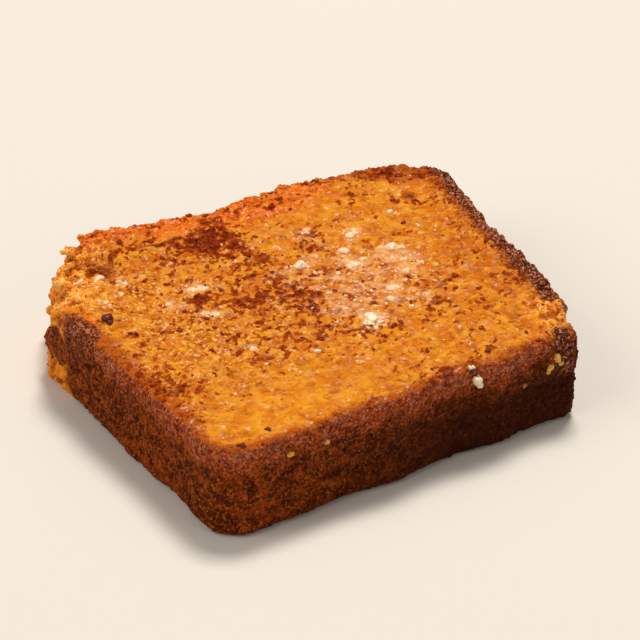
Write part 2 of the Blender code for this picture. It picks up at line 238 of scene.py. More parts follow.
# Grains laid on the skin: seed, how many, least size, its spread and how rare big ones are,
# flatness, unevenness, how deep they sink, their darkest tint, and how much bigger on the rims
GRAINS = {
    "crumb_grains": (11, 6200, 0.4, 0.5, 2, 0.52, 0.16, 0.32, 0.0, 0.0),
    "crust_grains": (12, 9000, 0.28, 0.26, 2, 0.85, 0.22, 0.2, 0.0, 0.9),
    "torn_crumbs": (13, 2600, 0.28, 0.5, 3, 0.85, 0.26, 0.1, 0.3, 0.0),
}

# Relief of the skin: how high or deep each kind is
GRAIN_RELIEF = 0.18
LUMP_RELIEF = 0.45
SCAB_RELIEF = 0.22
PORE_DEPTH = 0.4
HOLLOW_DEPTH = 1.6
UNDERSIDE_PITS = 0.12

# Each kind of noise has a part of the noise space to itself
NOISE_PARTS = {"lump": 0, "grain": 1, "speck": 2, "torn": 3, "crumble": 4, "pore": 6, "toast": 7,
               "film": 8, "edge": 9, "stroke": 10, "gate": 11, "blot": 12}

# The camera's place, aim and lens; the lights' places and widths in metres, watts and colours
CAMERA_PLACE = (-326.4, -563.12, 424.25)
CAMERA_AIM = (25.01, 39.69, -13.46)
CAMERA_LENS = 170.775
WARM_WHITE = (1.0, 0.96, 0.9)
LIGHTS = (
    ("window_light", (0.34, 0.3, 1.3), 0.36, 14.4, WARM_WHITE),
    ("left_light", (-0.95, 0.05, 0.85), 0.8, 5.0, WARM_WHITE),
    ("front_light", (0.25, -1.05, 0.6), 0.4, 1.0, (1.0, 0.95, 0.92)),
)
ROOM_LIGHT = 0.28

# Linear colours
FLOOR_SHADE = (0.76, 0.71, 0.64)
FLOOR_LIGHT = (0.8, 0.75, 0.68)
GOLDEN = (0.76, 0.285, 0.016)
AMBER = (0.63, 0.168, 0.008)
GOLDEN_LIGHT = (0.9, 0.345, 0.014)
PALE_GRAIN_AND_PAINTED_HIGHLIGHT = (0.95, 0.44, 0.06)
TORN_YELLOW = (1.0, 0.43, 0.032)
SOAKED_ORANGE = (0.46, 0.085, 0.003)
BROWNED = (0.3, 0.036, 0.0025)
DARK_BROWN = (0.13, 0.009, 0.0012)
BORDER_BROWN = (0.44, 0.085, 0.007)
BACK_ORANGE = (0.88, 0.15, 0.01)
TORN_ORANGE_AND_PAINTED_SHADE = (0.92, 0.28, 0.012)
CRUMB_PAINTED_SHADE = (0.4, 0.08, 0.004)
CREAM_PAINTED_HIGHLIGHT = (1.0, 0.58, 0.18)
TORN_PAINTED_DEEP_SHADE = (0.48, 0.105, 0.005)
CRUST_RED = (0.47, 0.066, 0.012)
CRUST_BROWN = (0.32, 0.053, 0.0055)
CRUST_SHADE = (0.115, 0.018, 0.0035)
CRUST_DARK = (0.06, 0.009, 0.0025)
CRUST_BURNT_AND_PAINTED_SHADE = (0.04, 0.0075, 0.0028)
CRUST_SPECK = (0.42, 0.105, 0.013)
PAINTED_PINK_HIGHLIGHT = (0.74, 0.27, 0.14)
BUTTER_FILM = (0.92, 0.52, 0.26)
BUTTER_CREAM = (0.95, 0.82, 0.6)
MELTED_AMBER = (0.82, 0.34, 0.07)
STRAY_CREAM_AND_PAINTED_HIGHLIGHT = (0.95, 0.8, 0.52)
STRAY_YELLOW = (0.8, 0.42, 0.05)
STRAY_DARK_AND_PAINTED_SHADE = (0.11, 0.018, 0.015)


# ---- Small tools ----


def smooth(value, low, high):
    """0 below `low`, 1 above `high`, and a soft step between them."""
    share = np.clip((value - low) / (high - low), 0.0, 1.0)
    return share * share * (3.0 - 2.0 * share)


def bell(distance, reach):
    return np.exp(-((distance / reach) ** 2))


def near(points, place, reach):
    """1 at a place in plan or in space, and softly down to 0 past its reach."""
    return bell(np.linalg.norm(points[:, : len(place)] - place, axis=1), reach)


def noise_places(points, length, kind):
    part = NOISE_PARTS[kind]
    return (points / length + (17.3 * part + 3.1, 9.7 * part + 5.3, 23.9 * part + 1.7)).tolist()


def noise_at(points, length, kind):
    """Smooth noise, about -0.7 to 0.7, whose lumps are `length` mm long."""
    return np.array([noise.noise(p) for p in noise_places(points, length, kind)])


def cells_at(points, length, kind):
    """Distance to the nearest random cell centre, in cell lengths of `length` mm."""
    return np.array([noise.voronoi(p)[0][0] for p in noise_places(points, length, kind)])


def zone_sum(points, zones):
    """Sum of the zones' strengths at each point."""
    total = np.zeros(len(points))
    for (x, y), half_length, half_width, turn, strength in zones:
        angle = math.radians(turn)
        east, north = points[:, 0] - x, points[:, 1] - y
        along = east * math.cos(angle) + north * math.sin(angle)
        across = north * math.cos(angle) - east * math.sin(angle)
        total += strength * bell(np.hypot(along / half_length, across / half_width), 1.0)
    return total


def spot_sum(points, spots):
    """Sum of soft round spots (x, y, radius) at each point."""
    total = np.zeros(len(points))
    for x, y, radius in spots:
        total += bell(np.hypot(points[:, 0] - x, points[:, 1] - y), radius)
    return total


def search_tree(places):
    """A tree for finding the nearest of these places."""
    tree = kdtree.KDTree(len(places))
    for i, place in enumerate(places.tolist()):
        tree.insert(place, i)
    tree.balance()
    return tree


def outline_distance(points, normals):
    """Distance in plan from each point to the nearest of the upright sides."""
    upright = points[np.abs(normals[:, 2]) < UPRIGHT]
    tree = search_tree(upright[:: 1 + len(upright) // MOST_SIDE_POINTS] * IN_PLAN)
    return np.array([tree.find(place)[2] for place in (points * IN_PLAN).tolist()])


def line_distance(points, start, end):
    """Distance in plan from each point to a straight line."""
    line = end - start
    offset = points[:, :2] - start
    share = np.clip(offset @ line / (line @ line), 0.0, 1.0)
    return np.linalg.norm(offset - share[:, None] * line, axis=1)


def only(piece):
    """Makes this piece the only selected one, and the active one."""
    bpy.ops.object.select_all(action="DESELECT")
    piece.select_set(True)
    bpy.context.view_layer.objects.active = piece


def edit_all():
    """Opens the active piece for editing, all of it selected."""
    bpy.ops.object.mode_set(mode="EDIT")
    bpy.ops.mesh.select_all(action="SELECT")


def vertex_values(mesh, name):
    """The vertices' `co` or `normal`, one row each."""
    values = np.empty(len(mesh.vertices) * 3, np.float32)
    mesh.vertices.foreach_get(name, values)
    return values.reshape(-1, 3).astype(float)


def move_vertices(mesh, points):
    """Puts the vertices at these points, which are in mm."""
    mesh.vertices.foreach_set("co", (points * MM).astype(np.float32).ravel())


def set_attribute(mesh, name, values):
    attribute = mesh.attributes.new(name, "FLOAT", "POINT")
    attribute.data.foreach_set("value", np.asarray(values, np.float32))


# ---- Material nodes ----


class Shader:
    """A material's node tree, with one short call for each kind of node that the bread needs.

    `noise` takes its length in mm, then its detail, roughness and distortion. `step` takes the two
    levels between which it goes from one share to the other. `mix` takes the share of the second
    colour.
    """

    def __init__(self, name):
        self.material = bpy.data.materials.new(name)
        self.material.use_nodes = True
        self.tree = self.material.node_tree
        self.surface = self.tree.nodes["Principled BSDF"]
        self.place = self.add("ShaderNodeTexCoord").outputs["Object"]

    def add(self, kind, **settings):
        node = self.tree.nodes.new(kind)
        for name, value in settings.items():
            setattr(node, name, value)
        return node

    def feed(self, socket, value):
        if isinstance(value, bpy.types.NodeSocket):
            self.tree.links.new(value, socket)
        elif socket.type == "RGBA":
            socket.default_value = (*value, 1.0)
        else:
            socket.default_value = value

    def attribute(self, name):
        return self.add("ShaderNodeAttribute", attribute_name=name).outputs["Fac"]

    def noise(self, length, detail=2.0, roughness=0.5, distortion=0.0):
        """Noise from 0 to 1 whose lumps are `length` mm long."""
        node = self.add("ShaderNodeTexNoise")
        self.feed(node.inputs["Vector"], self.place)
        node.inputs["Scale"].default_value = 1.0 / (length * MM)
        node.inputs["Detail"].default_value = detail
        node.inputs["Roughness"].default_value = roughness
        node.inputs["Distortion"].default_value = distortion
        return node.outputs["Fac"]

    def cells(self, length):
        """Distance to the nearest random cell centre, in cell lengths of `length` mm."""
        node = self.add("ShaderNodeTexVoronoi")
        self.feed(node.inputs["Vector"], self.place)
        node.inputs["Scale"].default_value = 1.0 / (length * MM)
        return node.outputs["Distance"]

    def axis(self, name):
        """One of the object coordinates X, Y and Z, in metres."""
        node = self.add("ShaderNodeSeparateXYZ")
        self.feed(node.inputs[0], self.place)
        return node.outputs[name]

    def sum(self, operation, first, second):
        node = self.add("ShaderNodeMath", operation=operation)
        self.feed(node.inputs[0], first)
        self.feed(node.inputs[1], second)
        return node.outputs[0]

    def plus(self, first, second):
        return self.sum("ADD", first, second)

    def minus(self, first, second):
        return self.sum("SUBTRACT", first, second)

    def times(self, first, second):
        return self.sum("MULTIPLY", first, second)

    def most(self, first, second):
        return self.sum("MAXIMUM", first, second)

    def ripple(self, strength, *settings):
        """Noise about 0, from half of `strength` below it to half above."""
        return self.times(self.minus(self.noise(*settings), 0.5), strength)

    def step(self, value, low, high, start=0.0, end=1.0):
        """A soft step from `start` to `end` as the value goes from `low` to `high`."""
        node = self.add("ShaderNodeMapRange", interpolation_type="SMOOTHSTEP")
        for socket, given in zip(node.inputs[:5], (value, low, high, start, end)):
            self.feed(socket, given)
        return node.outputs[0]

    def mix(self, share, first, second):
        node = self.add("ShaderNodeMix", data_type="RGBA")
        self.feed(node.inputs["Factor"], share)
        self.feed(node.inputs[6], first)
        self.feed(node.inputs[7], second)
        return node.outputs[2]

    def layered(self, colour, *layers):
        """The colour under layers, each a share and a colour, the topmost last."""
        for share, layer in layers:
            colour = self.mix(share, colour, layer)
        return colour

    def mix_value(self, share, first, second):
        node = self.add("ShaderNodeMix", data_type="FLOAT")
        for socket, given in zip(node.inputs[:1] + node.inputs[2:4], (share, first, second)):
            self.feed(socket, given)
        return node.outputs[0]

    def bump(self, height, distance):
        node = self.add("ShaderNodeBump")
        self.feed(node.inputs["Height"], height)
        node.inputs["Distance"].default_value = distance * MM
        return node.outputs["Normal"]

    def finish(self, **inputs):
        """Sets the surface's own sockets, by their names with _ for each space."""
        for name, value in inputs.items():
            self.feed(self.surface.inputs[name.replace("_", " ")], value)
        return self.material


def crumb_colour(s, torn):
    """Amber to golden crumb, oranger where butter soaked in, with painted shade in the crevices,
    the hollows and on the broken corner's lower side, and painted highlights, pale cream, where
    single grains stand proud."""
    proud, tint, soaked_and_painted_shade = s.attribute("proud"), s.attribute("tint"), s.attribute("soaked_and_painted_shade")
    coarse = s.attribute("coarse")
    soak = s.plus(s.noise(2.6, 3.0, 0.6, 0.4), s.times(soaked_and_painted_shade, 0.5))
    # Painted shade: the broken corner's side below the upper face, and its crevices and hollows,
    # are coloured oranger and darker
    low = s.step(s.axis("Z"), 15.0 * MM, 25.0 * MM, 0.9, 0.0)
    height = s.plus(proud, s.times(s.noise(1.6, 3.0, 0.6), 1.4))
    height = s.minus(height, s.times(s.most(soaked_and_painted_shade, 0.0), 1.5))
    grains = s.times(s.step(s.noise(0.9, 2.0, 0.6), 0.51, 0.61, 0.0, 0.75), s.minus(1.0, low))
    painted_crevice_shade = s.step(s.noise(1.5, 2.0, 0.6), 0.36, 0.46, 0.75, 0.0)
    pale = s.step(s.noise(1.0, 2.0, 0.6), 0.57, 0.66, 0.0, 0.9)
    high = s.minus(s.plus(proud, s.times(s.noise(1.8), 0.8)), s.times(low, torn))
    return s.layered(
        s.mix(s.step(s.noise(5.0, 3.0, 0.6), 0.4, 0.6), AMBER, GOLDEN),
        (s.times(s.attribute("golden"), 0.2), GOLDEN_LIGHT),
        (s.step(soak, 0.46, 0.78, 0.0, 0.7), SOAKED_ORANGE),
        # Pale grains, partly painted highlights
        (s.step(s.noise(1.5, 2.0, 0.6), 0.55, 0.7, 0.0, 0.45), PALE_GRAIN_AND_PAINTED_HIGHLIGHT),
        (s.step(tint, 0.6, 1.0, 0.0, 0.5), PALE_GRAIN_AND_PAINTED_HIGHLIGHT),
        (s.step(tint, 0.0, 0.4, 0.5, 0.0), SOAKED_ORANGE),
        # The broken corner's yellow crumb, with painted shade: oranger low down, and darker in its
        # crevices
        (s.times(torn, 0.8), s.mix(low, TORN_YELLOW, TORN_ORANGE_AND_PAINTED_SHADE)),
        (s.times(torn, s.step(height, 0.4, 1.3, 0.85, 0.0)), TORN_ORANGE_AND_PAINTED_SHADE),
        (s.times(torn, s.step(height, -0.1, 0.6, 0.9, 0.0)), TORN_PAINTED_DEEP_SHADE),
        # Painted highlights: cream spots on the broken corner, fewer on its lower side
        (s.times(torn, grains), CREAM_PAINTED_HIGHLIGHT),
        # Painted shade: darker crumb in the coarse zones' crevices and where it lies below the
        # solid's faces
        (s.times(coarse, painted_crevice_shade), CRUMB_PAINTED_SHADE),
        (s.step(proud, -0.45, 0.05, 0.75, 0.0), CRUMB_PAINTED_SHADE),
        # Painted highlights: cream spots in the coarse zones and where grains stand proud
        (s.times(coarse, pale), CREAM_PAINTED_HIGHLIGHT),
        (s.step(high, 0.95, 2.00, 0.0, 0.5), CREAM_PAINTED_HIGHLIGHT),
    )


def crust_colour(s, rim):
    """Dark, fine-grained crust, softly uneven, redder just under the upper face, with painted
    pinkish highlights there and on the rim, painted shade in its hollows and painted shade
    darkening it towards the foot, more to the right."""
    tint = s.attribute("tint")
    tone = s.plus(s.noise(4.5, 3.0, 0.6), s.times(s.noise(14.0), 0.5))
    high = s.plus(s.axis("Z"), s.times(s.noise(4.0, 3.0), 9.0 * MM))
    # Painted shade: the crust darkens towards its foot, more towards the right
    low = s.step(high, 15.0 * MM, 26.5 * MM, 0.92, 0.0)
    low = s.times(low, s.step(s.axis("X"), -45.0 * MM, 15.0 * MM))
    bare = s.step(s.most(rim, s.attribute("curl")), 0.1, 0.6, 1.0, 0.2)
    red = s.times(s.step(high, 21.5 * MM, 27.0 * MM, 0.0, 0.85), bare)
    burnt = s.step(s.noise(2.2), 0.38, 0.54, 0.0, 0.8)
    # Painted highlights: pinkish specks just under the upper face and on the rim
    lit = s.most(s.step(high, 21.0 * MM, 27.0 * MM, 0.0, 0.6), rim)
    pink = s.step(s.noise(0.75, 1.5), 0.53, 0.63, 0.0, 0.85)
    return s.layered(
        s.mix(s.step(tone, 0.64, 0.82), CRUST_SHADE, CRUST_BROWN),
        (s.step(s.noise(2.8, 2.0, 0.6), 0.41, 0.52, 0.85, 0.0), CRUST_DARK),
        (s.step(s.noise(1.6, 2.0, 0.6), 0.53, 0.62, 0.0, 0.65), CRUST_BROWN),
        (red, CRUST_RED),
        (s.step(s.noise(0.6, 2.0, 0.6), 0.36, 0.54, 0.75, 0.0), CRUST_DARK),
        (s.step(s.noise(0.8, 2.0, 0.6), 0.54, 0.62, 0.0, 0.8), CRUST_SPECK),
        (s.step(tint, 0.66, 1.0, 0.0, 0.55), CRUST_SPECK),
        (s.step(tint, 0.0, 0.45, 0.55, 0.0), CRUST_DARK),
        # Painted shade: crust sunk below the solid's faces is darker
        (s.step(s.attribute("proud"), -0.4, 0.1, 0.6, 0.0), CRUST_DARK),
        (s.times(low, s.step(tint, 0.7, 1.0, 1.0, 0.8)), CRUST_BURNT_AND_PAINTED_SHADE),
        (s.times(rim, burnt), CRUST_BURNT_AND_PAINTED_SHADE),
        (s.times(lit, pink), PAINTED_PINK_HIGHLIGHT),
    )


def bread_material(name, glow, gloss):
    """Buttered, griddled crumb on the cut faces and dark crust on the sides, from the marks of
    the skin and its grains. `glow` is how far light soaks in, `gloss` the butter's roughness."""
    s = Shader(name)
    crust, torn = s.attribute("crust"), s.attribute("torn")
    butter, edge, rim = s.attribute("butter"), s.attribute("edge"), s.attribute("rim")
    ragged = s.ripple(1.0, 3.0, 4.0, 0.65)

    # Each browned fleck has a warm halo and a dark middle
    level = s.plus(s.attribute("browned"), s.ripple(1.3, 1.3))
    halo = s.step(level, 0.08, 0.52, 0.0, 0.92)
    fleck = s.step(level, 0.62, 1.15)

    # The upper face: crumb, the orange band, the brown border, flecks, the slit's painted shade and
    # the film
    back = s.step(s.plus(s.attribute("back"), s.times(ragged, 2.0)), 0.2, 0.62, 0.0, 0.9)
    orange = s.layered(
        s.mix(s.step(s.noise(2.0, 3.0, 0.6), 0.38, 0.54, 0.65, 0.0), BACK_ORANGE, BORDER_BROWN),
        # Painted highlights: pale specks on the orange band
        (s.step(s.noise(1.2, 2.0, 0.6), 0.52, 0.64, 0.0, 0.65), PALE_GRAIN_AND_PAINTED_HIGHLIGHT),
        # Painted shade: browner in the band's crevices
        (s.step(s.attribute("proud"), -0.3, 0.4, 0.75, 0.0), BORDER_BROWN),
    )
    border = s.step(s.plus(edge, s.times(ragged, 1.3)), 0.25, 0.95, 0.0, 0.9)
    film = s.plus(s.times(butter, 0.55), s.ripple(1.8, 3.0, 3.0, 0.6, 0.5))
    film = s.times(s.step(film, 0.1, 0.8, 0.0, 0.65), s.minus(1.0, fleck))
    crumb = s.layered(
        crumb_colour(s, torn),
        (back, orange),
        (s.times(border, s.minus(1.0, back)), BORDER_BROWN),
        (halo, BROWNED),
        (fleck, DARK_BROWN),
        # Painted shade: the slit is coloured near black
        (s.step(s.attribute("slit"), 0.45, 0.85), STRAY_DARK_AND_PAINTED_SHADE),
        (film, BUTTER_FILM),
    )

    # The sides' crust, and the orange lip where it ends at the broken corner
    wall = s.plus(s.most(crust, rim), s.times(ragged, 0.8))
    lip = s.plus(s.attribute("lip"), s.times(ragged, 2.0))
    colour = s.layered(
        crumb,
        (s.step(wall, 0.35, 0.8), crust_colour(s, rim)),
        (s.step(lip, 0.4, 0.8, 0.0, 0.85), s.mix(0.4, orange, TORN_ORANGE_AND_PAINTED_SHADE)),
    )

    # Fine bumps, and the butter's gloss: in puddles, on the buttered face and the sides' top
    fine = s.plus(s.noise(0.7), s.times(s.cells(1.2), 0.6))
    grit = s.times(s.noise(0.8, 1.5), 0.45)
    beads = s.bump(s.mix_value(crust, s.noise(1.9, 1.5, 0.4), grit), 0.7)
    puddle = s.step(s.noise(2.0), 0.49, 0.6, 0.0, 0.9)
    dry = s.minus(1.0, s.times(halo, 0.9))
    upper = s.step(s.axis("Z"), 18.0 * MM, 25.0 * MM, 0.04, 0.85)
    buttered = s.step(butter, 0.05, 0.5, 0.6, 0.9)
    buttered = s.times(buttered, s.step(s.attribute("golden"), 0.2, 0.9, 1.0, 0.5))
    wet = s.times(s.times(puddle, dry), s.mix_value(crust, buttered, upper))
    wet = s.most(wet, s.times(rim, puddle))
    rough = s.step(s.noise(1.2), 0.3, 0.7, 0.5, 0.7)
    return s.finish(Base_Color=colour, Roughness=rough, Normal=s.bump(fine, 0.11),
                    Subsurface_Weight=glow, Subsurface_Radius=(1.0, 0.35, 0.08),
                    Subsurface_Scale=1.2 * MM, Specular_IOR_Level=0.02, Coat_Weight=wet,
                    Coat_Roughness=gloss, Coat_Normal=beads)


def flake_material():
    """Crisp dark scabs, buttered here and there."""
    s = Shader("browned_flake")
    colour = s.mix(s.step(s.noise(0.9, 3.0), 0.3, 0.5), DARK_BROWN, BROWNED)
    shine = s.step(s.noise(1.3), 0.54, 0.66, 0.0, 0.5)
    return s.finish(Base_Color=colour, Roughness=0.5, Normal=s.bump(s.noise(0.4, 3.0), 0.12),
                    Specular_IOR_Level=0.03, Coat_Weight=shine, Coat_Roughness=0.25)


def butter_material(name, freshness, glow):
    """Butter from translucent and peach-coloured, melted, to pale cream, fresh. `glow` is how far
    light soaks in."""
    s = Shader(name)
    thick = s.plus(s.attribute("thick"), s.ripple(0.8, 1.2, 3.0, 0.6))
    colour = s.layered(
        MELTED_AMBER,
        (s.step(thick, -0.15, 0.25), BUTTER_FILM),
        (s.step(thick, 0.1, 0.6, 0.0, freshness), BUTTER_CREAM),
    )
    return s.finish(Base_Color=colour, Roughness=0.45, Normal=s.bump(s.noise(0.9), 0.12),
                    Subsurface_Weight=glow, Subsurface_Radius=(1.0, 0.7, 0.35),
                    Subsurface_Scale=1.0 * MM, Specular_IOR_Level=0.2, Coat_Weight=0.35,
                    Coat_Roughness=0.2)


def stray_crumb_material():
    """Stray crumbs, cream to yellow to burnt; a few pale and dark ones are painted highlights and
    painted shade.
    """
    s = Shader("stray_crumb")
    dark = s.plus(s.attribute("dark"), s.times(s.noise(0.8, 3.0), 0.3))
    colour = s.layered(
        STRAY_CREAM_AND_PAINTED_HIGHLIGHT,
        (s.step(dark, 0.15, 0.4), STRAY_YELLOW),
        (s.step(dark, 0.5, 0.8), BROWNED),
        (s.step(dark, 0.85, 1.1), STRAY_DARK_AND_PAINTED_SHADE),
    )
    return s.finish(Base_Color=colour, Roughness=0.55, Normal=s.bump(s.noise(0.5, 3.0), 0.15),
                    Specular_IOR_Level=0.1, Coat_Weight=0.4, Coat_Roughness=0.2)


# ---- The slice ----


def merged_solid(node, name):
    """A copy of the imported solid, its loose triangles merged into one closed skin, with a little
    more broken away at the fracture."""
    piece = bpy.data.objects.new(name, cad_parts[node].data.copy())
    bpy.context.scene.collection.objects.link(piece)
    only(piece)
    edit_all()
    bpy.ops.mesh.remove_doubles(threshold=MERGED * MM)
    bpy.ops.object.mode_set(mode="OBJECT")
    piece.data.materials.clear()
    place, reach, way = BROKEN_AWAY
    points = vertex_values(piece.data, "co") / MM
    points += near(points, place, reach)[:, None] * way
    move_vertices(piece.data, points)
    piece.data.update()
    return piece


def even_cells(piece, cell):
    """Makes the piece one closed skin of even square cells."""
    remesh = piece.modifiers.new("even_cells", "REMESH")
    remesh.mode = "VOXEL"
    remesh.voxel_size = cell * MM
    bpy.ops.object.modifier_apply(modifier=remesh.name)


def one_skin(piece, lumps):
    """Makes the solid and the lumps on it one skin, and its cells under the slice coarser."""
    only(piece)
    for lump in lumps:
        lump.select_set(True)
    bpy.ops.object.join()
    even_cells(piece, SKIN_CELL)
    bpy.ops.object.mode_set(mode="EDIT")
    bpy.ops.mesh.select_mode(type="VERT")
    bpy.ops.mesh.select_all(action="DESELECT")
    bpy.ops.object.mode_set(mode="OBJECT")
    under = vertex_values(piece.data, "co")[:, 2] / MM < UNDERSIDE_LEVEL
    piece.data.vertices.foreach_set("select", under)
    bpy.ops.object.mode_set(mode="EDIT")
    bpy.ops.mesh.unsubdivide(iterations=2)
    bpy.ops.object.mode_set(mode="OBJECT")


def crag_lumps():
    """The crags of the broken corner and the flakes that jut from the back edge."""
    lumps = []
    for x, y, z, radius, thickness in CRAGS:
        bpy.ops.object.select_all(action="DESELECT")
        place = (x * MM, y * MM, z * MM)
        bpy.ops.mesh.primitive_ico_sphere_add(subdivisions=3, radius=1.0 * MM, location=place)
        lump = bpy.context.active_object
        edit_all()
        bpy.ops.transform.resize(value=(radius, 0.8 * radius, thickness))
        bpy.ops.object.mode_set(mode="OBJECT")
        bpy.ops.object.transform_apply(location=True, rotation=True, scale=True)
        points = vertex_values(lump.data, "co") / MM
        out = vertex_values(lump.data, "normal")
        points += out * (0.9 * noise_at(points, 2.4, "torn") * min(1.0, 0.6 * thickness))[:, None]
        move_vertices(lump.data, points)
        lumps.append(lump)
    return lumps


def grown_lumps(solid):
    """Lumps that become one with the skin: coarse crumb and crust, and the rims' beads."""
    draw = np.random.default_rng(10)
    marks, up = solid.marks, solid.normals[:, 2]
    face = smooth(up, 0.5, 0.85) * (1.0 - marks["torn"])
    upright = 1.0 - smooth(np.abs(up), 0.45, 0.85)
    back_edge = np.minimum(marks["back"], 1.0) * smooth(up, 0.1, 0.5)
    clear = 1.0 - near(solid.points, *HOLLOW)
    # Where they grow, how many, their least size and its spread, their flatness, how deep they sink
    kinds = (
        ("torn_lumps", marks["torn"] ** 2 * clear, 150, 0.7, 0.9, 0.55, 0.4),
        ("rim_beads", marks["rim"] ** 2, 420, 0.6, 0.7, 0.9, 0.35),
        ("back_crumbs", back_edge, 420, 0.7, 0.9, 0.62, 0.22),
        ("edge_beads", marks["edge"] ** 2, 620, 0.45, 0.5, 0.75, 0.25),
        ("face_lumps", face, 1500, 0.5, 0.9, 0.42, 0.12),
        ("crust_lumps", upright, 1500, 0.5, 0.5, 0.45, 0.2),
    )
    lumps = []
    for name, weight, count, least, spread, flatness, sink in kinds:
        places, normals, _ = solid.scatter(weight, count, draw)
        sizes = random_sizes(draw, count, least, spread, 2)
        shapes = grain_shapes(5, flatness, jitter=0.24, cuts=2)
        lumps.append(joined_copies(name, shapes, (places, normals, {}), sizes, sink, draw))
    return lumps


def torn_crumb(points):
    """How torn the crumb is, by its depth behind the fracture and its place along it."""
    line = BREAK_LEFT - BREAK_BACK
    along = (points[:, :2] - BREAK_BACK) @ line / (line @ line)
    inward = np.array((-line[1], line[0])) / np.linalg.norm(line)
    inside = (points[:, :2] - BREAK_BACK) @ inward + 3.0 * noise_at(points, 5.0, "edge")
    beside = smooth(along, -0.35, 0.0) * (1.0 - smooth(along, 1.22, 1.48))
    return beside * (1.0 - smooth(inside, *TORN_DEPTHS))


def browning(points, toast):
    """Where the griddle browned the crumb: short curved strokes, and blots where it was hotter."""
    strokes = 1.0 - smooth(np.abs(noise_at(points, 2.2, "stroke")), 0.05, 0.2)
    gate = smooth(noise_at(points, 2.0, "gate") + 1.5 * toast, 0.15, 0.55)
    blots = noise_at(points, 2.0, "blot") + 0.7 * noise_at(points, 1.0, "speck")
    return np.maximum(0.8 * strokes * gate, smooth(blots + 1.1 * toast, 0.45, 1.15))


def skin_marks(points, normals):
    """What each place of the skin is, as the attributes that the material reads."""
    up = normals[:, 2]

    # The broken corner and what crumbled away, the curled end of the crust, its flap and its lip
    torn = torn_crumb(points)
    for place, reach, low, high in CRUMBLED_RIM:
        gap = near(points, place, reach) + 0.35 * noise_at(points, 2.5, "edge")
        torn = np.maximum(torn, 0.8 * smooth(gap, 0.25, 0.7) * smooth(points[:, 2], low, high))
    curl = np.minimum(zone_sum(points, CRUST_CURL) * 1.3, 1.0) * (up > -0.2)
    flap_end = smooth(near(points, *FLAP_END), 0.2, 0.5)
    flap = np.maximum(flap_end, smooth(near(points, *FLAP_ROOT), 0.2, 0.5))
    lip = smooth(curl, 0.12, 0.3) * (1.0 - smooth(curl, 0.5, 0.7)) * smooth(up, 0.15, 0.5)
    lip *= smooth(points[:, 1] + 3.0 * noise_at(points, 3.0, "edge"), 11.0, 15.0)

    # The right side's rim, the crust of the sides, and the brown border of the upper face
    distance = outline_distance(points, normals)
    side_line = line_distance(points, RIGHT_FRONT, RIGHT_BACK)
    nub = near(points, *NUB)
    upper = smooth(points[:, 2] + 8.0 * noise_at(points, 5.0, "edge"), *RIM_LEVELS)
    rim = np.maximum(bell(side_line, RIM_REACH) * (1.0 - torn), nub) * (up > -0.2) * upper
    crust = 1.0 - smooth(np.abs(up), *CRUST_TILTS)
    crust = np.maximum(crust, smooth(bell(distance, 3.5), 0.2, 0.8) * (up < 0.0))
    crust *= 1.0 - torn * (1.0 - curl) * (1.0 - nub)
    front = smooth(-points[:, 1], 36.0, 44.0)
    edge = bell(np.maximum(distance - 1.8 + 1.3 * front, 0.0), 3.2 - 1.1 * front)
    edge = np.maximum(edge, zone_sum(points, WIDE_CRUST))
    edge = np.minimum(edge, 1.0) * (up > 0.0) * (1.0 - torn)

    # Butter, and how hot the griddle was
    melting = [(x, y, 1.6 * radius) for x, y, radius, _ in BUTTER_DAB + BUTTER_BITS]
    butter = (zone_sum(points, BUTTER_ZONES) + 0.4 * spot_sum(points, melting)) * (up > 0.3)
    covered = 1.0 - 0.45 * smooth(butter, 0.3, 0.9)
    toast = zone_sum(points, BROWNED_ZONES) + 0.36 * noise_at(points, 8.0, "toast")
    toast += 0.5 * spot_sum(points, BROWNED_SPOTS) + 0.35 * bell(side_line, 7.0) + 0.15 * edge
    return {
        "crust": np.maximum(crust, np.maximum(smooth(curl, 0.35, 0.65), flap)),
        "lip": np.maximum(lip, 0.9 * flap_end * smooth(points[:, 2], *FLAP_LIP_LEVELS)),
        "curl": curl,
        "slit": np.minimum(zone_sum(points, SLIT), 1.0) * (up > 0.0),
        "torn": torn * (1.0 - np.maximum(curl, flap)),
        "edge": edge,
        "rim": 0.95 * rim,
        "browned": browning(points, toast) * (np.abs(up) > 0.3) * (1.0 - 0.75 * torn) * covered,
        "butter": butter,
        "soaked_and_painted_shade": zone_sum(points, SOAKED_AND_PAINTED_SHADE_ZONES) * (up > 0.3),
        "back": zone_sum(points, BACK_BAND) * (up > -0.3),
        "golden": np.minimum(zone_sum(points, GOLDEN_ZONES), 1.0),
        "coarse": np.minimum(zone_sum(points, COARSE_AND_PAINTED_LIGHT_ZONES), 1.0) * (up > 0.0) * (1.0 - 0.8 * torn),
        "tint": np.full(len(points), 0.5),
    }


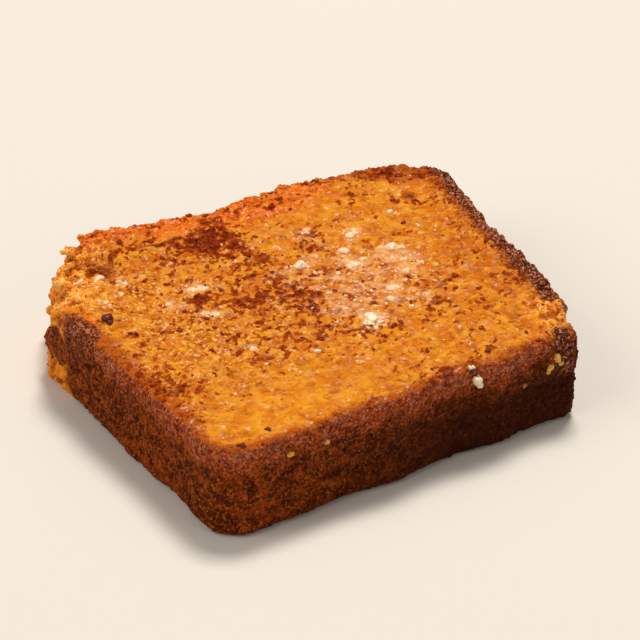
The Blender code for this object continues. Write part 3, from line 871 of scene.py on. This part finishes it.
def skin_relief(points, normals, marks):
    """How far each place of the skin stands proud: grains, lumps, pores and torn crumb."""
    crust, torn, rim = marks["crust"], marks["torn"], marks["rim"]
    grain = noise_at(points, 1.15, "grain") + 0.7 * noise_at(points, 0.62, "speck")
    lump = noise_at(points, 2.1, "lump")
    coarseness = 1.0 - 0.6 * marks["golden"] + 0.5 * marks["coarse"]
    relief = GRAIN_RELIEF * grain * coarseness + LUMP_RELIEF * lump * (1.0 - 0.2 * crust)
    relief -= PORE_DEPTH * bell(cells_at(points, 2.3, "pore"), 0.22) * (lump < 0.0)
    relief += SCAB_RELIEF * np.minimum(marks["browned"], 1.0)
    clods = 0.45 - cells_at(points, 1.7, "crumble")
    crumbled = 1.1 * noise_at(points, 3.6, "torn") + 0.7 * noise_at(points, 1.3, "crumble")
    crumbled -= 0.8 * bell(noise_at(points, 2.0, "pore"), 0.1)
    relief += torn * (crumbled + 0.7 * clods) + rim * 0.5 * clods
    relief -= HOLLOW_DEPTH * near(points, HOLLOW[0], 0.6 * HOLLOW[1])
    relief -= zone_sum(points, SLIT)
    under = smooth(-normals[:, 2], 0.6, 0.95)
    return relief * (1.0 - under) - UNDERSIDE_PITS * under * np.abs(grain)


def hand_over(piece, material, soft=True):
    """The piece gets its material, rides on the slice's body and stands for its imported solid."""
    mesh = piece.data
    mesh.materials.append(material)
    mesh.polygons.foreach_set("use_smooth", np.full(len(mesh.polygons), soft))
    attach(piece, "root")
    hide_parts("cornbread")


def proud_by(points, solid):
    """How far each point stands out of the solid's own faces, in mm; inside counts negative."""
    tree = BVHTree.FromPolygons(solid.points.tolist(), solid.corners.tolist())
    heights = []
    for point in points.tolist():
        foot, normal, _, distance = tree.find_nearest(point)
        heights.append(math.copysign(distance, (Vector(point) - foot).dot(normal)))
    return np.array(heights)


def cornbread_slice(bread):
    """The slice's skin, and what scattering needs of it."""
    piece = merged_solid("cornbread", "cornbread_slice")
    points = vertex_values(piece.data, "co") / MM
    solid = Skin(piece.data, skin_marks(points, vertex_values(piece.data, "normal")))
    one_skin(piece, crag_lumps() + grown_lumps(solid))
    mesh = piece.data
    points = vertex_values(mesh, "co") / MM
    normals = vertex_values(mesh, "normal")
    marks = skin_marks(points, normals)
    moved = points + normals * skin_relief(points, normals, marks)[:, None]
    moved[:, 2] = np.clip(moved[:, 2], 0.0, HIGHEST)
    marks["proud"] = proud_by(moved, solid)
    move_vertices(mesh, moved)
    mesh.update()
    for name, values in marks.items():
        set_attribute(mesh, name, values)
    hand_over(piece, bread)
    return Skin(mesh, marks)


# ---- Grains, flakes and butter on the skin ----


class Skin:
    """The finished skin's triangles, for laying small pieces on it."""

    def __init__(self, mesh, marks):
        mesh.calc_loop_triangles()
        corners = np.empty(len(mesh.loop_triangles) * 3, np.int32)
        mesh.loop_triangles.foreach_get("vertices", corners)
        self.corners = corners.reshape(-1, 3)
        self.points = vertex_values(mesh, "co") / MM
        self.normals = vertex_values(mesh, "normal")
        self.marks = marks
        first, second, third = (self.points[self.corners[:, i]] for i in range(3))
        self.areas = np.linalg.norm(np.cross(second - first, third - first), axis=1) / 2.0

    def levels(self, places):
        """The height of the upper face at each place in plan, from the skin point nearest to it."""
        face = self.points[self.normals[:, 2] > 0.4]
        tree = search_tree(face * IN_PLAN)
        flat = (np.asarray(places)[:, :3] * IN_PLAN).tolist()
        return face[[tree.find(place)[1] for place in flat], 2]

    def scatter(self, weight, count, draw):
        """Random spots, thickest where the vertices' `weight` is high: places, normals, marks."""
        chance = self.areas * weight[self.corners].mean(axis=1)
        picks = draw.choice(len(chance), count, p=chance / chance.sum())
        corners = self.corners[picks]
        shares = draw.dirichlet((1.0, 1.0, 1.0), count)
        places = (self.points[corners] * shares[:, :, None]).sum(axis=1)
        normals = (self.normals[corners] * shares[:, :, None]).sum(axis=1)
        normals /= np.linalg.norm(normals, axis=1)[:, None]
        marks = {name: values[corners[:, 0]] for name, values in self.marks.items()}
        return places, normals, marks


def random_sizes(draw, count, least, spread, rarity):
    """Radii from `least` to `spread` more; the higher the `rarity`, the fewer big ones."""
    return least + spread * draw.uniform(0.0, 1.0, count) ** rarity


def grain_shapes(kinds, flatness, jitter, cuts=1):
    """A few uneven little lumps, about 1 in radius: their points, and the faces they share."""
    shapes = []
    for kind in range(kinds):
        bpy.ops.object.select_all(action="DESELECT")
        bpy.ops.mesh.primitive_ico_sphere_add(subdivisions=cuts, radius=1.0)
        lump = bpy.context.active_object
        edit_all()
        bpy.ops.transform.resize(value=(1.0, 0.82, flatness))
        bpy.ops.transform.vertex_random(offset=jitter, seed=kind + 1)
        bpy.ops.object.mode_set(mode="OBJECT")
        shapes.append(vertex_values(lump.data, "co"))
        faces = np.array([list(face.vertices) for face in lump.data.polygons])
        bpy.data.objects.remove(lump)
    return np.array(shapes), faces


def flake_shapes(kinds):
    """Thin ragged flakes, about 1 in radius, curled at one side."""
    shapes = []
    for kind in range(kinds):
        bpy.ops.object.select_all(action="DESELECT")
        bpy.ops.mesh.primitive_circle_add(vertices=9, radius=1.0, fill_type="TRIFAN")
        flake = bpy.context.active_object
        edit_all()
        bpy.ops.transform.resize(value=(1.0, 0.62, 1.0))
        bpy.ops.transform.vertex_random(offset=0.3, seed=kind + 11)
        bpy.ops.mesh.extrude_region_move(TRANSFORM_OT_translate={"value": (0.0, 0.0, 0.22)})
        bpy.ops.mesh.select_all(action="SELECT")
        bpy.ops.mesh.quads_convert_to_tris()
        bpy.ops.mesh.normals_make_consistent(inside=False)
        bpy.ops.object.mode_set(mode="OBJECT")
        points = vertex_values(flake.data, "co")
        points[:, 2] += 0.22 * points[:, 0] ** 2
        shapes.append(points)
        faces = np.array([list(face.vertices) for face in flake.data.polygons])
        bpy.data.objects.remove(flake)
    return np.array(shapes), faces


def joined_copies(name, kinds, spots, sizes, sink, draw):
    """One mesh of small shapes, one on each spot, sunk into the skin and turned at random."""
    shapes, faces = kinds
    places, normals, marks = spots
    count = len(places)
    helper = np.where(np.abs(normals[:, 2:]) < 0.9, (0.0, 0.0, 1.0), (1.0, 0.0, 0.0))
    side = np.cross(normals, helper)
    side /= np.linalg.norm(side, axis=1)[:, None]
    other = np.cross(normals, side)
    spin = draw.uniform(0.0, 2.0 * math.pi, count)[:, None]
    east = side * np.cos(spin) + other * np.sin(spin)
    north = np.cross(normals, east)
    local = shapes[draw.integers(0, len(shapes), count)] * sizes[:, None, None]
    base = (places - normals * (sink * sizes)[:, None])[:, None, :]
    points = base + local[:, :, :1] * east[:, None, :]
    points += local[:, :, 1:2] * north[:, None, :] + local[:, :, 2:] * normals[:, None, :]
    points[:, :, 2] = np.clip(points[:, :, 2], 0.05, HIGHEST_CRUMB)
    each = shapes.shape[1]
    joined = faces[None, :, :] + (np.arange(count) * each)[:, None, None]
    mesh = bpy.data.meshes.new(name)
    mesh.from_pydata((points.reshape(-1, 3) * MM).tolist(), [], joined.reshape(-1, 3).tolist())
    for mark, values in marks.items():
        set_attribute(mesh, mark, np.repeat(values, each))
    piece = bpy.data.objects.new(name, mesh)
    bpy.context.scene.collection.objects.link(piece)
    return piece


def laid_grains(name, skin, weight, bread, soft=True):
    """Grains of the kind that `name` says, thickest where the skin's `weight` is high."""
    seed, count, least, spread, rarity, flatness, jitter, sink, dark, bigger = GRAINS[name]
    draw = np.random.default_rng(seed)
    places, normals, marks = skin.scatter(weight, count, draw)
    marks["tint"] = draw.uniform(dark, 1.0, count)
    sizes = random_sizes(draw, count, least, spread, rarity)
    sizes *= 1.0 + bigger * (marks["rim"] + 0.6 * marks["edge"])
    shapes = grain_shapes(6, flatness, jitter)
    piece = joined_copies(name, shapes, (places, normals, marks), sizes, sink, draw)
    hand_over(piece, bread, soft)


def crumb_grains(skin, bread):
    """Cornmeal grains that stand out of the buttered face, more of them to the left."""
    marks = skin.marks
    face = smooth(skin.normals[:, 2], 0.3, 0.7) * (1.0 - 0.6 * smooth(marks["butter"], 0.3, 0.8))
    face *= 1.0 + 1.2 * smooth(-skin.points[:, 0], 14.0, 34.0)
    face *= 1.0 - 0.8 * marks["golden"]
    face *= 1.0 - 0.6 * marks["torn"]
    laid_grains("crumb_grains", skin, face, bread)


def crust_grains(skin, bread):
    """Coarser grains on the sides' crust, on the right side's rim and along the back edge."""
    upright = 1.0 - smooth(np.abs(skin.normals[:, 2]), 0.45, 0.85)
    rough = upright + 2.2 * skin.marks["rim"] + 1.2 * skin.marks["edge"]
    rough *= skin.points[:, 2] > 0.8
    laid_grains("crust_grains", skin, rough, bread)


def torn_crumbs(skin, bread):
    """Loose crumb on the broken corner."""
    torn = skin.marks["torn"] ** 1.5
    laid_grains("torn_crumbs", skin, torn, bread, soft=False)


def browned_flakes(skin):
    """Thin scabs of browned crumb, thickest where the griddle was hottest."""
    draw = np.random.default_rng(14)
    count = 480
    hot = skin.marks["browned"] ** 2 * smooth(skin.normals[:, 2], 0.5, 0.8)
    spots = skin.scatter(hot, count, draw)
    sizes = random_sizes(draw, count, 0.35, 0.6, 2.5)
    piece = joined_copies("browned_flakes", flake_shapes(6), spots, sizes, 0.1, draw)
    hand_over(piece, flake_material())


def butter_droplets_and_glints(skin, material):
    """Soft droplets of half-melted butter on the griddled face, thickest where the film lies; they
    also serve as painted highlights, peach spots, there and on the broken corner.
    """
    draw = np.random.default_rng(15)
    count = 300
    share = 0.03 + smooth(skin.marks["butter"], 0.1, 0.7)
    # Painted highlights: some droplets on the broken corner
    share += 0.2 * smooth(skin.marks["torn"], 0.3, 0.9)
    spots = skin.scatter(share * smooth(skin.normals[:, 2], 0.6, 0.9), count, draw)
    sizes = random_sizes(draw, count, 0.4, 0.65, 2.5)
    shapes = grain_shapes(6, flatness=0.26, jitter=0.22, cuts=2)
    spots[2]["thick"] = draw.uniform(-0.2, 0.22, count)
    piece = joined_copies("butter_droplets_and_glints", shapes, spots, sizes, 0.1, draw)
    hand_over(piece, material)


def stray_crumbs(skin):
    """The single crumbs that stuck to the slice, each on the skin point nearest to it."""
    draw = np.random.default_rng(23)
    tree = search_tree(skin.points)
    stuck = np.repeat(np.array(STRAY_CRUMBS), CLUMP, axis=0)
    nearest = [tree.find(crumb[:3])[1] for crumb in stuck.tolist()]
    sizes = stuck[:, 3] * draw.uniform(0.48, 0.74, len(stuck))
    places = skin.points[nearest] + draw.uniform(-0.42, 0.42, (len(stuck), 3)) * stuck[:, 3:4]
    spots = (places, skin.normals[nearest], {"dark": stuck[:, 4]})
    shapes = grain_shapes(6, flatness=0.8, jitter=0.38, cuts=2)
    piece = joined_copies("stray_crumbs", shapes, spots, sizes, 0.0, draw)
    hand_over(piece, stray_crumb_material())


def butter(name, lumps, skin, material, cell):
    """Soft lumps of butter that run together where they touch, on the skin's own level."""
    parts = []
    for (x, y, radius, height), level in zip(lumps, skin.levels(lumps)):
        place = (x * MM, y * MM, (level - SUNK) * MM)
        bpy.ops.object.select_all(action="DESELECT")
        bpy.ops.mesh.primitive_ico_sphere_add(subdivisions=3, radius=1.0, location=place)
        part = bpy.context.active_object
        part.scale = (radius * MM, 0.85 * radius * MM, (height + SUNK) * MM)
        parts.append(part)
    for part in parts:
        part.select_set(True)
    bpy.ops.object.join()
    piece = bpy.context.active_object
    bpy.ops.object.transform_apply(location=True, rotation=True, scale=True)
    piece.name = name
    even_cells(piece, cell)
    points = vertex_values(piece.data, "co") / MM
    normals = vertex_values(piece.data, "normal")
    soft = 0.38 * noise_at(points, 1.7, "film") + 0.32 * noise_at(points, 0.8, "edge")
    moved = points + normals * soft[:, None]
    moved[:, 2] = np.minimum(moved[:, 2], HIGHEST_CRUMB)
    move_vertices(piece.data, moved)
    set_attribute(piece.data, "thick", moved[:, 2] - skin.levels(moved))
    hand_over(piece, material)


# ---- Floor, lights and camera ----


def pale_floor():
    bpy.ops.object.select_all(action="DESELECT")
    bpy.ops.mesh.primitive_plane_add(size=6.0, location=(0.0, 0.0, 0.0))
    floor = bpy.context.active_object
    floor.name = "pale_floor"
    s = Shader("pale_floor")
    colour = s.mix(s.noise(400.0), FLOOR_SHADE, FLOOR_LIGHT)
    floor.data.materials.append(s.finish(Base_Color=colour, Roughness=0.7))


def area_light(name, place, size, watts, colour):
    """A soft square light that faces the slice."""
    light = bpy.data.lights.new(name, "AREA")
    light.size = size
    light.energy = watts
    light.color = colour
    lamp = bpy.data.objects.new(name, light)
    lamp.location = place
    lamp.rotation_euler = (-Vector(place)).to_track_quat("-Z", "Y").to_euler()
    bpy.context.scene.collection.objects.link(lamp)


def studio_light():
    for light in LIGHTS:
        area_light(*light)
    world = bpy.data.worlds.new("pale_room")
    world.use_nodes = True
    sky = world.node_tree.nodes["Background"]
    sky.inputs["Color"].default_value = (*WARM_WHITE, 1.0)
    sky.inputs["Strength"].default_value = ROOM_LIGHT
    bpy.context.scene.world = world


def photo_camera():
    """The photograph's own viewing angle and framing."""
    camera_place = Vector(CAMERA_PLACE) * MM
    aim = Vector(CAMERA_AIM) * MM
    data = bpy.data.cameras.new("photo_camera")
    data.lens = CAMERA_LENS
    data.sensor_width = 36.0
    camera = bpy.data.objects.new("photo_camera", data)
    camera.location = camera_place
    camera.rotation_euler = (aim - camera_place).to_track_quat("-Z", "Y").to_euler()
    bpy.context.scene.collection.objects.link(camera)
    bpy.context.scene.camera = camera


bpy.context.scene.view_settings.view_transform = "Standard"
photo_camera()
skin = cornbread_slice(bread_material("griddled_crumb", glow=0.12, gloss=0.27))
grain = bread_material("crumb_grain", glow=0.0, gloss=0.2)
crumb_grains(skin, grain)
crust_grains(skin, grain)
torn_crumbs(skin, grain)
browned_flakes(skin)
stray_crumbs(skin)
fresh = butter_material("fresh_butter", freshness=0.95, glow=0.4)
melting = butter_material("melting_butter", freshness=0.5, glow=0.3)
butter("butter_dab", BUTTER_DAB, skin, fresh, cell=0.22)
butter("butter_bits", BUTTER_BITS, skin, melting, cell=0.25)
butter_droplets_and_glints(skin, butter_material("butter_droplet", freshness=0.4, glow=0.0))
pale_floor()
studio_light()
